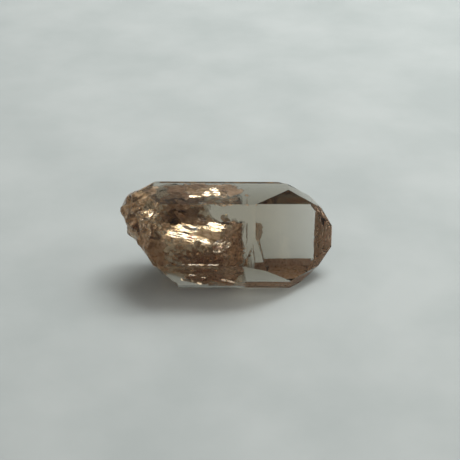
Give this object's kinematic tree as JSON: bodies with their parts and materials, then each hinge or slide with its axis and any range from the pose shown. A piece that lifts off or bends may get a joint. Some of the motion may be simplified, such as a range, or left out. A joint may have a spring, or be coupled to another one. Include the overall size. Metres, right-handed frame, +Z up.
{
  "type": "smoky quartz crystal",
  "caption": "Clear smoky brown crystal lying on a side face, with a sharp faceted point, a rough lumpy far end, and bright cracks and brown staining inside.",
  "frame": {"origin": "middle of the crystal's box in plan, on the flat prism face it rests on", "axes": "+X along the crystal's long axis towards the clear pointed end, +Z up"},
  "size_m": [0.0454, 0.0206, 0.0198],
  "materials": {
    "smoky_quartz": "glossy natural crystal faces, clear with a light smoky brown tint",
    "brown_inclusions": "dull earthy brown iron staining in cracks inside the crystal",
    "bright_cracks": "silvery gold flashes of light from healed cracks inside the crystal"
  },
  "bodies": {
    "root": {"crystal": "smoky_quartz"}
  },
  "joints": []
}
